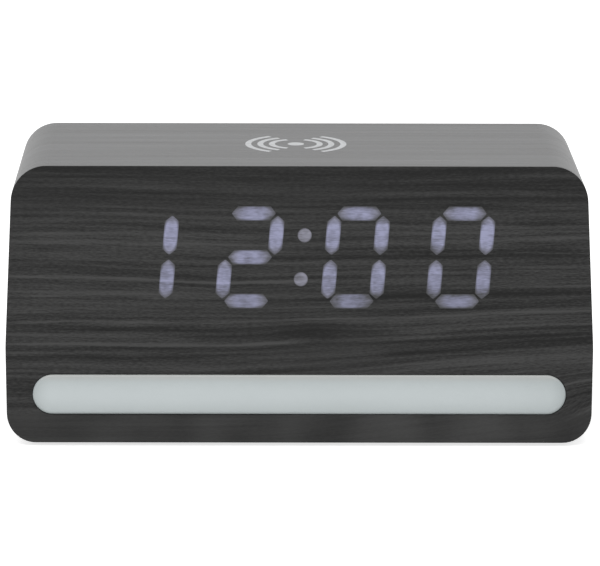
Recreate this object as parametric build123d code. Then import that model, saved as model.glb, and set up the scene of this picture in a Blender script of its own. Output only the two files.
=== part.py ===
from build123d import *
import math
import os

# Desk clock in a wood-grain case: LED digits behind the front foil, a light bar below them, a
# charging coil under the top, and keys, power socket and battery cover at the back.
# Millimetres. +X is the viewer's right, the front faces -Y, +Z is up, and the origin lies on the
# floor under the middle of the clock.

# Case: its outline is the same from front to back, and the front face is cut back at the lean.
belt_width = 150.0
base_width = 148.9
crown_width = 146.8
case_height = 69.4
belt_height = 24.0
base_depth = 87.2
lean = 10.0
crown_corner = 9.0
base_corner = 7.5
belt_blend = 60.0
foil = 0.4
wall = 4.6
front_wall = 3.6
least_radius = 0.5
foot_diameter = 10.0
foot_thickness = 1.6
foot_recess = 0.6
foot_inset = 16.0
foot_rounding = 0.3

# Display: four slanted seven-segment digits and a colon.
digit_height = 26.0
digit_width = 16.05
digit_pitch = 26.9
digit_slant = 5.0
segment_width = 3.65
segment_end_gap = 0.55
segment_tip = 1.5
segment_rounding = 0.45
colon_diameter = 3.6
colon_spacing = 11.2
display_shift = 0.8
display_margin = 1.4
display_lip = 1.6
display_headroom = 2.1
lens_depth = 2.4
reflector_flange = 2.4
board_thickness = 1.6
display_led_length = 1.6
display_led_width = 0.8
display_led_height = 0.7
lit_digits = "1200"
segments_of = {"0": "abcdef", "1": "bc", "2": "abged"}

# Light bar: milky lens in a slot, with a white tray and a strip of LEDs behind it.
light_side_margin = 6.57
light_height = 10.0
light_proud = 0.4
light_rounding = 0.6
fit_gap = 0.15
light_lip = 1.0
light_end = 2.0
light_floor_gap = 0.25
light_flange = 1.5
light_tray_depth = 8.5
light_tray_wall = 1.2
light_board_thickness = 1.0
light_led_length = 3.5
light_led_width = 2.8
light_led_height = 0.8
light_led_count = 9
light_tab_width = 9.0
light_tab_length = 7.0
light_tab_thickness = 1.6
light_tab_spacing = 84.0

# Charging coil: a flat spiral on ferrite, held under the top by a tray that also carries its board.
coil_bore_radius = 10.0
coil_pitch = 1.5
coil_wire = 1.0
coil_turns = 8
coil_air = 0.2
ferrite_thickness = 1.0
ferrite_margin = 1.0
coil_tray_thickness = 1.5
coil_tray_boss = 6.0
coil_tray_edge = 1.0
charger_board_margin = 4.0
charger_board_width = 30.0
charger_board_thickness = 1.2
charger_post_diameter = 5.0
charger_post_height = 5.0
charger_post_inset = 3.5
coil_lead = 0.8
coil_lead_hole = 2.4
coil_lead_reach = 5.0
coil_lead_drop = 1.8
coil_lead_bend = 1.0
coil_chip_size = 7.0
coil_chip_height = 0.9
inductor_size = 6.6
inductor_height = 3.0
inductor_x = 12.0
chip_row_y = 4.0
ceramic_length = 5.7
ceramic_width = 5.0
ceramic_height = 2.5
ceramic_pitch = 7.0
ceramic_x = 3.5
ceramic_y = -8.0

# Rear cover, held by four screws in glue blocks.
cover_thickness = 2.4
cover_rim = 2.6
cover_gap = 0.2
cover_edge = 0.4
block_size = 12.0
block_length = 16.0
cover_screw_shank = 2.6
cover_screw_length = 10.0
cover_screw_head = 5.0
cover_screw_head_height = 1.6
small_screw_shank = 2.0
small_screw_head = 3.6
small_screw_head_height = 1.3
screw_bite = 3.0
thread_gap = 0.05
screw_hole_gap = 0.3

# Main board and what stands on it, measured on the rear face from the left edge of the board and
# from the middle of the case height.
socket_width = 8.94
socket_height = 3.26
socket_wall = 0.3
socket_core = 3.5
socket_tongue_width = 6.69
socket_tongue_thickness = 0.7
socket_tongue_recess = 0.8
socket_gap = 0.2
socket_from_edge = 18.0
socket_z = -11.5
main_board_height = 34.0
board_boss = 6.0
board_boss_inset = 3.5
key_from_edge = 11.5
key_battery_gap = 9.6
battery_edge_margin = 5.3
key_diameter = 8.0
key_proud = 0.8
key_gap = 0.3
key_flange = 1.2
key_flange_thickness = 1.0
key_play = 0.1
key_stem = 3.0
key_stem_length = 0.5
key_edge = 0.5
key_pitch = 15.0
key_row_z = 4.0
key_travel = 0.35
switch_size = 6.0
switch_height = 3.5
plunger_diameter = 3.4
plunger_height = 5.0
plunger_depth = 1.0
plunger_gap = 0.1
buzzer_diameter = 12.0
buzzer_height = 5.5
buzzer_port = 2.0
buzzer_from_edge = 48.0
buzzer_z = -10.5
sound_hole = 1.6
sound_pitch = 3.2
cell_diameter = 20.0
cell_thickness = 3.2
cell_gap = 0.2
holder_wall = 1.6
holder_floor = 1.0
contact_thickness = 0.3
contact_width = 4.0
contact_length = 12.0
battery_z = 1.3
cell_room = 1.5
hub_gap = 0.1
cap_flange = 1.6
cap_flange_thickness = 1.0
cap_edge_gap = 0.3
lug_reach = 2.2
lug_span = 30.0
lug_thickness = 1.0
lug_play = 0.1
lug_notch_gap = 0.4
cover_turn = 60.0
coin_slot_length = 16.0
coin_slot_width = 1.8
coin_slot_depth = 0.6
controller_length = 18.0
controller_width = 7.5
controller_height = 2.3
chip_z = -7.0
driver_length = 10.0
driver_width = 6.0
driver_height = 1.7
driver_x = -22.0
crystal_length = 8.0
crystal_width = 3.5
crystal_height = 3.0
crystal_z = -14.0
capacitor_diameter = 6.3
capacitor_height = 7.5
capacitor_x = -38.0
capacitor_pitch = 8.0
capacitor_z = -12.0

# Wiring inside the case.
ribbon_width = 12.0
ribbon_thickness = 0.6
ribbon_x = 24.0
ribbon_sag = 12.0
plug_margin = 1.0
plug_height = 5.0
plug_depth = 6.0
lead_diameter = 1.2
lead_spacing = 2.0
lead_run = 12.0
widest_bend = 12.0
light_lead_x = 36.0
light_lead_hole = 5.0
charger_lead_x = -13.0

BASE = (Align.CENTER, Align.CENTER, Align.MIN)
lean_rad = math.radians(lean)
case_bottom = foot_thickness - foot_recess
y_back = (base_depth - key_proud) / 2
y_front = y_back - base_depth
inner_inset = foil + wall

# Local places. On the rear, local z runs forward into the case; on the front face, local y runs up
# the leaning face and z outward; under the top wall, local z runs down.
rear = Plane(origin=(0, y_back, case_bottom), x_dir=(1, 0, 0), z_dir=(0, -1, 0))
front = Plane(
    origin=(0, y_front, case_bottom),
    x_dir=(1, 0, 0),
    z_dir=(0, -math.cos(lean_rad), math.sin(lean_rad)),
)
top_front_y = y_front + case_height * math.tan(lean_rad)
coil_y = (top_front_y + y_back) / 2
ceiling = Plane(
    origin=(0, coil_y, case_bottom + case_height - inner_inset),
    x_dir=(1, 0, 0),
    z_dir=(0, 0, -1),
)

os.makedirs("parts", exist_ok=True)


def save(name, shape):
    """Write one node."""
    export_step(shape, "parts/" + name + ".step")


def disc(diameter, start, end):
    """Cylinder along local z."""
    return Pos(0, 0, start) * Cylinder(diameter / 2, end - start, align=BASE)


def slab(width, height, start, end):
    """Box centred on local z."""
    return Pos(0, 0, start) * Box(width, height, end - start, align=BASE)


def pill(length, height, start, end):
    """Bar with full-round ends along local x."""
    return Pos(0, 0, start) * extrude(SlotOverall(length, height), end - start)


def at(plane, x, y, shape):
    """Place a shape on a plane."""
    return plane.location * Pos(x, y, 0) * shape


def on_rear(x, z, shape):
    """Place a shape on the rear face, from the middle of the case height."""
    return at(rear, x, case_height / 2 + z, shape)


def screw(head, head_height, shank, length):
    """Cross-head screw: the head's top at local z 0, the shank along +z."""
    recess_width = head / 6
    recess_length = head * 0.6
    recess_depth = head_height * 0.6
    top = disc(head, 0, head_height)
    top = chamfer(top.edges().filter_by(GeomType.CIRCLE).group_by(Axis.Z)[0], head_height / 4)
    cross = slab(recess_length, recess_width, 0, recess_depth)
    cross += slab(recess_width, recess_length, 0, recess_depth)
    return top + disc(shank, head_height, head_height + length) - cross


def bends(points):
    """Largest bend that the runs on both sides of each inner point leave room for."""
    radii = []
    for before, corner, after in zip(points, points[1:], points[2:]):
        run_in = Vector(*corner) - Vector(*before)
        run_out = Vector(*after) - Vector(*corner)
        half_turn = math.radians(run_in.get_angle(run_out)) / 2
        radii.append(0.45 * min(run_in.length, run_out.length) / math.tan(half_turn))
    return radii


def moved_in(corners, inset):
    """Corners of an outline, drawn anticlockwise, with every side moved in."""
    sides = []
    for (x0, y0), (x1, y1) in zip(corners, corners[1:] + corners[:1]):
        length = math.hypot(x1 - x0, y1 - y0)
        nx = (y0 - y1) / length
        ny = (x1 - x0) / length
        sides.append((nx, ny, nx * x0 + ny * y0 + inset))
    moved = []
    for (a, b, c), (d, e, f) in zip(sides[-1:] + sides[:-1], sides):
        scale = a * e - b * d
        moved.append(((c * e - b * f) / scale, (a * f - c * d) / scale))
    return moved


def outline(inset):
    """Outline of the case in front view, drawn from its bottom, made smaller all round."""
    half_base = base_width / 2
    half_belt = belt_width / 2
    half_crown = crown_width / 2
    corners = [
        (-half_base, 0),
        (half_base, 0),
        (half_belt, belt_height),
        (half_crown, case_height),
        (-half_crown, case_height),
        (-half_belt, belt_height),
    ]
    corners = moved_in(corners, inset)
    shape = Polygon(*corners, align=None)
    radii = [base_corner, base_corner, belt_blend, crown_corner, crown_corner, belt_blend]
    limits = bends(corners[-1:] + corners + corners[:1])
    for corner, radius, limit in zip(corners, radii, limits):
        vertex = min(shape.vertices(), key=lambda v: math.dist((v.X, v.Y), corner))
        shape = fillet(vertex, min(max(radius - inset, least_radius), limit))
    return shape


def half_width(height):
    """Half the width of the case at a height above its bottom."""
    if height < belt_height:
        share = height / belt_height
        return (base_width + share * (belt_width - base_width)) / 2
    share = (height - belt_height) / (case_height - belt_height)
    return (belt_width + share * (crown_width - belt_width)) / 2


def narrowest(low, high):
    """Least half width of the case between two heights."""
    levels = [low, high]
    if low < belt_height < high:
        levels.append(belt_height)
    return min(half_width(level) for level in levels)


def prism(inset, start, end):
    """Case outline carried forward from the rear face."""
    return rear.location * Pos(0, 0, start) * extrude(outline(inset), end - start)


def behind_front(shape, depth):
    """What lies behind the front face by at least this depth."""
    return split(shape, bisect_by=front.offset(-depth), keep=Keep.BOTTOM)


def route(points, widest=widest_bend):
    """Straight runs joined by tangent arcs."""
    return FilletPolyline(*points, radius=[min(bend, widest) for bend in bends(points)])


def tube(points, diameter, widest=widest_bend):
    """Round lead along a route."""
    path = route(points, widest)
    return sweep(Plane(path @ 0, z_dir=path % 0) * Circle(diameter / 2), path=path)


# Feet, in shallow pockets of the underside.
foot_places = [
    (side * (base_width / 2 - foot_inset), y)
    for side in (-1, 1)
    for y in (y_front + foot_inset, y_back - foot_inset)
]
foot = disc(foot_diameter, 0, foot_thickness)
foot_pockets = [Pos(x, y, 0) * foot for x, y in foot_places]
foot = fillet(foot.edges().group_by(Axis.Z)[0], foot_rounding)
save("feet", Compound(children=[Pos(x, y, 0) * foot for x, y in foot_places]))

# Display places on the front face.
inner_face = -(foil + front_wall)
row_step = (digit_height - segment_width) / 2
column_step = digit_width - segment_width
slant = math.tan(math.radians(digit_slant))
window_height = digit_height + 2 * display_margin
window_width = 3 * digit_pitch + digit_width + digit_height * slant + 2 * display_margin
flange_height = window_height + 2 * display_lip
flange_width = window_width + 2 * display_lip
display_v = (
    (case_height - inner_inset) / math.cos(lean_rad) - display_headroom - flange_height / 2
)
segment_places = {
    "a": (0, row_step, 0),
    "b": (column_step / 2, row_step / 2, 90),
    "c": (column_step / 2, -row_step / 2, 90),
    "d": (0, -row_step, 0),
    "e": (-column_step / 2, -row_step / 2, 90),
    "f": (-column_step / 2, row_step / 2, 90),
    "g": (0, 0, 0),
}


def segment_face(letter):
    """Six-sided segment of one digit, slanted, with softened corners."""
    x, y, turn = segment_places[letter]
    reach = (row_step if turn else column_step) / 2 - segment_end_gap
    shoulder = reach - segment_tip
    half = segment_width / 2
    corners = [
        (reach, 0),
        (shoulder, half),
        (-shoulder, half),
        (-reach, 0),
        (-shoulder, -half),
        (shoulder, -half),
    ]
    if turn:
        corners = [(-v, u) for u, v in corners]
    slanted = [(x + u + (y + v) * slant, y + v) for u, v in corners]
    face = Polygon(*slanted, align=None)
    return fillet(face.vertices(), segment_rounding)


lit_faces = []
dark_faces = []
led_places = []
for place, digit in enumerate(lit_digits):
    digit_x = display_shift + (place - (len(lit_digits) - 1) / 2) * digit_pitch
    for letter in segment_places:
        face = Pos(digit_x, display_v) * segment_face(letter)
        x, y, turn = segment_places[letter]
        led_places.append((digit_x + x + y * slant, display_v + y))
        if letter in segments_of[digit]:
            lit_faces.append(face)
        else:
            dark_faces.append(face)
for side in (-1, 1):
    dot_y = side * colon_spacing / 2
    dot_x = display_shift + dot_y * slant
    lit_faces.append(Pos(dot_x, display_v + dot_y) * Circle(colon_diameter / 2))
    led_places.append((dot_x, display_v + dot_y))


def segment_blocks(faces, start, end):
    """Segments carried along the normal of the front face."""
    return [front.location * Pos(0, 0, start) * extrude(face, end - start) for face in faces]


save("lit_segments", Compound(children=segment_blocks(lit_faces, -lens_depth, 0)))
save("unlit_segments", Compound(children=segment_blocks(dark_faces, -lens_depth, 0)))

# Display reflector with a well for each segment, its board, LEDs and screws.
reflector_back = inner_face - reflector_flange
board_back = reflector_back - board_thickness
display_screw_places = [
    (display_shift + sx * digit_pitch, display_v + sv * row_step / 2)
    for sx in (-1, 1)
    for sv in (-1, 1)
]
reflector = at(front, display_shift, display_v, slab(window_width, window_height, inner_face, -foil))
reflector += at(
    front, display_shift, display_v, slab(flange_width, flange_height, reflector_back, inner_face)
)
wells = segment_blocks(lit_faces + dark_faces, reflector_back, -foil)
small_hole = small_screw_shank + 2 * screw_hole_gap
pilot = small_screw_shank + 2 * thread_gap
reflector_pilots = [
    at(front, x, v, disc(pilot, reflector_back, reflector_back + screw_bite))
    for x, v in display_screw_places
]
save("display_reflector", reflector - wells - reflector_pilots)

display_board = at(
    front, display_shift, display_v, slab(flange_width, flange_height, board_back, reflector_back)
)
display_board -= [
    at(front, x, v, disc(small_hole, board_back, reflector_back)) for x, v in display_screw_places
]
save("display_board", display_board)

display_led = slab(
    display_led_length, display_led_width, reflector_back, reflector_back + display_led_height
)
save("display_leds", Compound(children=[at(front, x, v, display_led) for x, v in led_places]))

display_screw = screw(
    small_screw_head, small_screw_head_height, small_screw_shank, board_thickness + screw_bite
)
display_screw = Pos(0, 0, board_back - small_screw_head_height) * display_screw
save(
    "display_screws",
    Compound(children=[at(front, x, v, display_screw) for x, v in display_screw_places]),
)

# Light bar: lens, tray, board, LEDs and screws.
light_lip_height = light_height + 2 * light_lip
lens_back = inner_face - light_flange
tray_back = lens_back - light_tray_depth
tray_floor = tray_back + light_tray_wall


def above_floor(depth):
    """Height up the front face at which a piece of this depth just clears the cavity's floor."""
    return (inner_inset + light_floor_gap - depth * math.sin(lean_rad)) / math.cos(lean_rad)


light_v = above_floor(lens_back) + light_lip_height / 2
light_low = inner_inset + light_floor_gap
light_high = (light_v + light_lip_height / 2) * math.cos(lean_rad)
light_length = 2 * (narrowest(light_low, light_high) - light_side_margin)
light_back_length = light_length - 2 * light_end
tray_height = min(light_lip_height, 2 * (light_v - above_floor(tray_back)))
lens = pill(light_length, light_height, lens_back, light_proud)
lens = fillet(lens.edges().group_by(Axis.Z)[-1], light_rounding)
lens += slab(light_back_length, light_lip_height, lens_back, inner_face)
save("light_bar_lens", at(front, 0, light_v, lens))

light_slot = at(
    front,
    0,
    light_v,
    pill(light_length + 2 * fit_gap, light_height + 2 * fit_gap, inner_face, light_proud),
)

inner_length = light_back_length - 2 * light_tray_wall
inner_height = tray_height - 2 * light_tray_wall
cavity_floor = case_bottom + inner_inset
tab_y = (front.location * Pos(0, light_v - tray_height / 2, tray_back)).position.Y
tab_places = [(side * light_tab_spacing / 2, tab_y + light_tab_length / 2) for side in (-1, 1)]
tab_top = cavity_floor + light_tab_thickness
tray = at(front, 0, light_v, slab(light_back_length, tray_height, tray_back, lens_back))
for x, y in tab_places:
    tab = slab(light_tab_width, light_tab_length + 2 * light_tray_wall, cavity_floor, tab_top)
    tray += Pos(x, y, 0) * tab
tray -= [Pos(x, y, 0) * disc(small_hole, cavity_floor, tab_top) for x, y in tab_places]
tray_well = slab(inner_length, inner_height, tray_floor, lens_back)
tray_well += Pos(light_lead_x, 0) * disc(light_lead_hole, tray_back, tray_floor)
save("light_tray", tray - at(front, 0, light_v, tray_well))

light_board_top = tray_floor + light_board_thickness
light_board = slab(inner_length, inner_height, tray_floor, light_board_top)
save("light_board", at(front, 0, light_v, light_board))

light_led = slab(
    light_led_length, light_led_width, light_board_top, light_board_top + light_led_height
)
light_led_step = inner_length / light_led_count
light_leds = [
    at(front, (i - (light_led_count - 1) / 2) * light_led_step, light_v, light_led)
    for i in range(light_led_count)
]
save("light_leds", Compound(children=light_leds))

light_screw = screw(
    small_screw_head, small_screw_head_height, small_screw_shank, light_tab_thickness + screw_bite
)
light_screw = Pos(0, 0, tab_top + small_screw_head_height) * Rot(180, 0, 0) * light_screw
save("light_screws", Compound(children=[Pos(x, y, 0) * light_screw for x, y in tab_places]))
light_pilots = [
    Pos(x, y, 0) * disc(pilot, cavity_floor - screw_bite, cavity_floor) for x, y in tab_places
]

# Charging coil, its ferrite and tray, and the board below them.
coil_radius = coil_bore_radius + coil_turns * coil_pitch
coil_top = coil_air
coil_bottom = coil_top + coil_wire
ferrite_bottom = coil_bottom + ferrite_thickness
tray_bottom = ferrite_bottom + coil_tray_thickness
post_bottom = tray_bottom + charger_post_height
charger_bottom = post_bottom + charger_board_thickness
charger_board_length = 2 * (coil_radius + charger_board_margin)


def spiral(shift):
    """Half-circle arcs of the flat coil, moved outward from its middle line."""
    arcs = []
    for half_turn in range(2 * coil_turns):
        radius = coil_bore_radius + half_turn * coil_pitch / 2 + shift
        if half_turn % 2 == 0:
            arcs.append(CenterArc((0, 0), radius, 0, 180))
        else:
            arcs.append(CenterArc((coil_pitch / 2, 0), radius, 180, 180))
    return arcs


half_wire = coil_wire / 2
coil_face = make_face(
    spiral(-half_wire)
    + spiral(half_wire)
    + [
        Line((coil_bore_radius - half_wire, 0), (coil_bore_radius + half_wire, 0)),
        Line((coil_radius - half_wire, 0), (coil_radius + half_wire, 0)),
    ]
)
save("charging_coil", at(ceiling, 0, 0, Pos(0, 0, coil_top) * extrude(coil_face, coil_wire)))

inner_lead_y = -coil_lead_drop
outer_lead_y = coil_lead_reach
lead_holes = [
    Pos(coil_bore_radius, inner_lead_y) * disc(coil_lead_hole, coil_top, tray_bottom),
    Pos(coil_radius, outer_lead_y) * disc(coil_lead_hole, coil_top, tray_bottom),
]
ferrite_radius = coil_radius + ferrite_margin
ferrite = disc(2 * ferrite_radius, coil_bottom, ferrite_bottom) - lead_holes
save("coil_ferrite", at(ceiling, 0, 0, ferrite))

boss_x = ferrite_radius + coil_tray_boss / 2 + coil_tray_edge
boss_y = ferrite_radius - coil_tray_boss / 2
coil_boss_places = [(sx * boss_x, sy * boss_y) for sx in (-1, 1) for sy in (-1, 1)]
tray_length = 2 * boss_x + coil_tray_boss
coil_tray = slab(tray_length, 2 * ferrite_radius, ferrite_bottom, tray_bottom)
for x, y in coil_boss_places:
    coil_tray += Pos(x, y) * disc(coil_tray_boss, 0, tray_bottom)
for x, y in coil_boss_places:
    coil_tray -= Pos(x, y) * disc(small_hole, 0, tray_bottom)
charger_screw_places = [
    (
        sx * (charger_board_length / 2 - charger_post_inset),
        sy * (charger_board_width / 2 - charger_post_inset),
    )
    for sx in (-1, 1)
    for sy in (-1, 1)
]
for x, y in charger_screw_places:
    coil_tray += Pos(x, y) * disc(charger_post_diameter, tray_bottom, post_bottom)
for x, y in charger_screw_places:
    coil_tray -= Pos(x, y) * disc(pilot, post_bottom - screw_bite, post_bottom)
save("coil_tray", at(ceiling, 0, 0, coil_tray - lead_holes))

coil_screw = screw(
    small_screw_head, small_screw_head_height, small_screw_shank, tray_bottom + screw_bite
)
coil_screw = Pos(0, 0, tray_bottom + small_screw_head_height) * Rot(180, 0, 0) * coil_screw
save(
    "coil_tray_screws",
    Compound(children=[at(ceiling, x, y, coil_screw) for x, y in coil_boss_places]),
)
coil_pilots = [
    at(ceiling, x, y, disc(pilot, -screw_bite, screw_bite)) for x, y in coil_boss_places
]

charger_board = slab(charger_board_length, charger_board_width, post_bottom, charger_bottom)
charger_board -= [
    Pos(x, y) * disc(small_hole, post_bottom, charger_bottom) for x, y in charger_screw_places
]
save("charger_board", at(ceiling, 0, 0, charger_board))

charger_screw = screw(
    small_screw_head,
    small_screw_head_height,
    small_screw_shank,
    charger_board_thickness + screw_bite,
)
charger_screw = Pos(0, 0, charger_bottom + small_screw_head_height) * Rot(180, 0, 0) * charger_screw
save(
    "charger_board_screws",
    Compound(children=[at(ceiling, x, y, charger_screw) for x, y in charger_screw_places]),
)

coil_chip = slab(coil_chip_size, coil_chip_size, charger_bottom, charger_bottom + coil_chip_height)
inductor = slab(inductor_size, inductor_size, charger_bottom, charger_bottom + inductor_height)
ceramic = slab(ceramic_length, ceramic_width, charger_bottom, charger_bottom + ceramic_height)
charger_parts = [
    at(ceiling, 0, chip_row_y, coil_chip),
    at(ceiling, inductor_x, chip_row_y, inductor),
]
charger_parts += [
    at(ceiling, ceramic_x + step * ceramic_pitch, ceramic_y, ceramic) for step in (-1, 0, 1)
]
save("charger_board_parts", Compound(children=charger_parts))

lead_z = coil_top + half_wire
coil_leads = [
    tube(
        [
            (coil_bore_radius, 0, lead_z),
            (coil_bore_radius, inner_lead_y, lead_z),
            (coil_bore_radius, inner_lead_y, post_bottom),
        ],
        coil_lead,
        coil_lead_bend,
    ),
    tube(
        [
            (coil_radius, 0, lead_z),
            (coil_radius, outer_lead_y, lead_z),
            (coil_radius, outer_lead_y, post_bottom),
        ],
        coil_lead,
        coil_lead_bend,
    ),
]
save("coil_leads", Compound(children=[at(ceiling, 0, 0, lead) for lead in coil_leads]))

# Case block and the two foils over it.
form = behind_front(prism(0, 0, base_depth), 0)
front_foil = split(form, bisect_by=front.offset(-foil), keep=Keep.TOP)
front_foil -= segment_blocks(lit_faces + dark_faces, -lens_depth, 0)
save("front_foil", front_foil - light_slot)

core = behind_front(prism(foil, 0, base_depth), foil)
wrap = behind_front(prism(0, 0, base_depth), foil) - prism(foil, 0, base_depth)
save("wrap_foil", wrap - foot_pockets)

cavity = behind_front(prism(inner_inset, 0, base_depth), foil + front_wall)
window = slab(window_width + 2 * fit_gap, window_height + 2 * fit_gap, inner_face - foil, 0)
case_block = core - cavity - prism(cover_rim, 0, cover_thickness)
case_block -= at(front, display_shift, display_v, window)
case_block -= light_slot
case_block -= foot_pockets
case_block -= light_pilots + coil_pilots
save("case_block", case_block)

# Glue blocks in the corners of the cavity, behind the rear cover.
block_low = inner_inset
block_high = case_height - inner_inset - block_size
corner_places = []
for low in (block_low, block_high):
    corner_x = narrowest(low, low + block_size) - inner_inset - block_size / 2
    corner_z = low + block_size / 2 - case_height / 2
    corner_places += [(-corner_x, corner_z), (corner_x, corner_z)]
cover_pilot = cover_screw_shank + 2 * thread_gap
cover_screw_tip = cover_screw_head_height + cover_screw_length
glue_blocks = []
for x, z in corner_places:
    block = on_rear(x, z, slab(block_size, block_size, cover_thickness, cover_thickness + block_length))
    block = block & cavity
    glue_blocks.append(block - on_rear(x, z, disc(cover_pilot, cover_thickness, cover_screw_tip)))
save("glue_blocks", Compound(children=glue_blocks))

# Rear cover with its bosses and openings.
flange_top = cover_thickness + key_play
flange_bottom = flange_top + key_flange_thickness
board_rear = flange_bottom + key_stem_length + plunger_height
board_front = board_rear + board_thickness
hub_diameter = cell_diameter + 2 * cell_room
flange_radius = hub_diameter / 2 + cap_flange
lug_radius = hub_diameter / 2 + lug_reach
key_names = ["set", "up", "down", "light"]
key_row = key_from_edge + (len(key_names) - 1) * key_pitch
key_to_battery = key_diameter / 2 + key_flange + key_battery_gap + lug_radius
main_board_width = key_row + key_to_battery + lug_radius + battery_edge_margin
board_edge = -main_board_width / 2
key_places = [
    (board_edge + key_from_edge + i * key_pitch, key_row_z) for i in range(len(key_names))
]
battery_x = board_edge + key_row + key_to_battery
socket_x = board_edge + socket_from_edge
buzzer_x = board_edge + buzzer_from_edge
boss_places = [
    (sx * (main_board_width / 2 - board_boss_inset), sz * (main_board_height / 2 - board_boss_inset))
    for sx in (-1, 1)
    for sz in (-1, 1)
]
cap_back = cover_thickness + lug_play
lug_end = cap_back + lug_thickness


def arc_block(inner, outer, middle, span, start, end):
    """Part of a ring about local z."""
    half = math.radians(span / 2)
    far = 2 * outer
    turn = math.radians(middle)
    wedge = Polygon(
        (0, 0),
        (far * math.cos(turn - half), far * math.sin(turn - half)),
        (far * math.cos(turn + half), far * math.sin(turn + half)),
        align=None,
    )
    ring = disc(2 * outer, start, end) - disc(2 * inner, start, end)
    return ring & Pos(0, 0, start) * extrude(wedge, end - start)


cover = prism(cover_rim + cover_gap, 0, cover_thickness)
cover = fillet(cover.edges().group_by(Axis.Y)[-1], cover_edge)
for x, z in boss_places:
    cover += on_rear(x, z, disc(board_boss, cover_thickness, board_rear))
    cover -= on_rear(x, z, disc(pilot, board_rear - screw_bite, board_rear))
for x, z in corner_places:
    head_hole = disc(cover_screw_head + 2 * screw_hole_gap, 0, cover_screw_head_height)
    shank_hole = disc(cover_screw_shank + 2 * screw_hole_gap, 0, cover_thickness)
    cover -= on_rear(x, z, head_hole + shank_hole)
for x, z in key_places:
    cover -= on_rear(x, z, disc(key_diameter + 2 * key_gap, 0, cover_thickness))
cover -= on_rear(
    socket_x,
    socket_z,
    pill(socket_width + 2 * socket_gap, socket_height + 2 * socket_gap, 0, cover_thickness),
)
battery_hole = disc(2 * (flange_radius + cap_edge_gap), 0, cap_flange_thickness)
battery_hole += disc(hub_diameter + 2 * hub_gap, 0, cover_thickness)
for lug_turn in (90, 270):
    notch_span = lug_span + math.degrees(2 * lug_notch_gap / lug_radius)
    battery_hole += arc_block(
        hub_diameter / 2 - lug_reach,
        lug_radius + lug_notch_gap,
        lug_turn - cover_turn,
        notch_span,
        0,
        cover_thickness,
    )
cover -= on_rear(battery_x, battery_z, battery_hole)
sound_places = [(0, 0)]
sound_places += [
    (sound_pitch * math.cos(math.radians(turn)), sound_pitch * math.sin(math.radians(turn)))
    for turn in range(0, 360, 60)
]
for x, z in sound_places:
    cover -= on_rear(buzzer_x + x, buzzer_z + z, disc(sound_hole, 0, cover_thickness))
save("rear_cover", cover)

cover_screw = screw(
    cover_screw_head, cover_screw_head_height, cover_screw_shank, cover_screw_length
)
save("rear_cover_screws", Compound(children=[on_rear(x, z, cover_screw) for x, z in corner_places]))

# Main board with its switches, socket, buzzer and parts.
main_board = on_rear(0, 0, slab(main_board_width, main_board_height, board_rear, board_front))
main_board -= [on_rear(x, z, disc(small_hole, board_rear, board_front)) for x, z in boss_places]
save("main_board", main_board)

board_screw = screw(
    small_screw_head,
    small_screw_head_height,
    small_screw_shank,
    board_thickness + screw_bite,
)
board_screw = Pos(0, 0, board_front + small_screw_head_height) * Rot(180, 0, 0) * board_screw
save("main_board_screws", Compound(children=[on_rear(x, z, board_screw) for x, z in boss_places]))

switch_top = board_rear - switch_height
plunger_top = board_rear - plunger_height
plunger_end = switch_top + plunger_depth
switch = slab(switch_size, switch_size, switch_top, board_rear)
well_end = plunger_end + key_travel + key_play
switch -= disc(plunger_diameter + 2 * plunger_gap, switch_top, well_end)
save("key_switches", Compound(children=[on_rear(x, z, switch) for x, z in key_places]))

key = disc(key_diameter, -key_proud, flange_top)
key = fillet(key.edges().group_by(Axis.Z)[0], key_edge)
key += disc(key_diameter + 2 * key_flange, flange_top, flange_bottom)
key += disc(key_stem, flange_bottom, plunger_top)
plunger = disc(plunger_diameter, plunger_top, plunger_end)
for name, (x, z) in zip(key_names, key_places):
    save(name + "_button", on_rear(x, z, key))
    save(name + "_plunger", on_rear(x, z, plunger))

shell_bore_width = socket_width - 2 * socket_wall
shell_bore_height = socket_height - 2 * socket_wall
shell = pill(socket_width, socket_height, 0, board_rear)
shell -= pill(shell_bore_width, shell_bore_height, 0, board_rear)
save("power_socket_shell", on_rear(socket_x, socket_z, shell))
core_top = board_rear - socket_core
tongue = pill(shell_bore_width, shell_bore_height, core_top, board_rear)
tongue += slab(socket_tongue_width, socket_tongue_thickness, socket_tongue_recess, core_top)
save("power_socket_tongue", on_rear(socket_x, socket_z, tongue))

buzzer_top = board_rear - buzzer_height
buzzer = disc(buzzer_diameter, buzzer_top, board_rear)
buzzer -= disc(buzzer_port, buzzer_top, buzzer_top + buzzer_port)
save("buzzer", on_rear(buzzer_x, buzzer_z, buzzer))

controller = slab(controller_length, controller_width, board_front, board_front + controller_height)
driver = slab(driver_length, driver_width, board_front, board_front + driver_height)
crystal = slab(crystal_length, crystal_width, board_front, board_front + crystal_height)
capacitor = disc(capacitor_diameter, board_front, board_front + capacitor_height)
main_parts = [
    on_rear(0, chip_z, controller),
    on_rear(driver_x, chip_z, driver),
    on_rear(0, crystal_z, crystal),
    on_rear(capacitor_x, capacitor_z, capacitor),
    on_rear(capacitor_x + capacitor_pitch, capacitor_z, capacitor),
]
save("main_board_parts", Compound(children=main_parts))

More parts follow.
